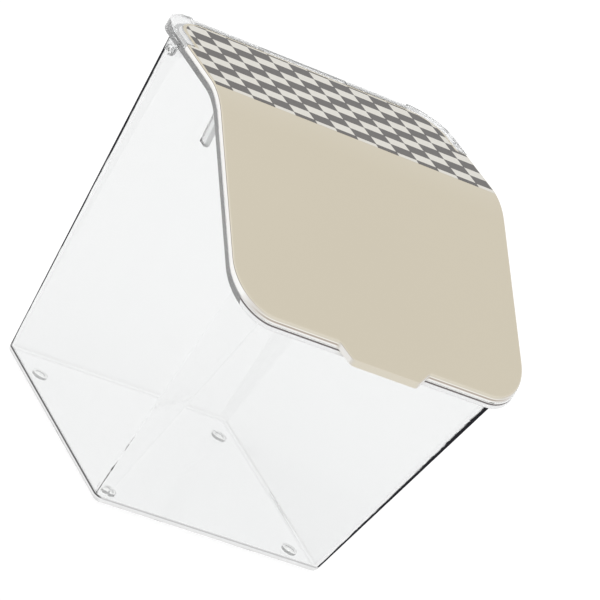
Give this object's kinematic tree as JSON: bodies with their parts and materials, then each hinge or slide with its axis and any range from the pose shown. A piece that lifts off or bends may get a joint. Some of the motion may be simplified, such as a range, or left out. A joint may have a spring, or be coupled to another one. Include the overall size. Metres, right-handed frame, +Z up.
{
  "type": "garlic storage container",
  "caption": "Clear tapered kitchen bin with a sloping flip lid that turns on a rear hinge rod, an opaque lid panel with a finger tab, and small round feet.",
  "frame": {"origin": "middle of the bounding box's underside, on the surface that the feet stand on", "axes": "+Z up, -Y towards the front where the finger tab is, +X to the right of a person who faces the front"},
  "size_m": [0.162, 0.185, 0.179],
  "materials": {
    "clear_container": "gloss",
    "clear_lid": "gloss",
    "panel": "satin",
    "film": "satin",
    "rod": "satin",
    "foot": "satin"
  },
  "bodies": {
    "root": {"container": "clear_container", "hinge_rod": "rod", "foot_front_left": "foot", "foot_front_right": "foot", "foot_rear_left": "foot", "foot_rear_right": "foot"},
    "lid": {"lid_shell": "clear_lid", "lid_panel": "panel", "check_film": "film"}
  },
  "joints": [
    {"name": "lid_hinge", "type": "hinge", "parent": "root", "child": "lid", "pos_m": [0, 0.08891, 0.1759], "axis": [-1, 0, 0], "range_deg": [0, 105]}
  ]
}
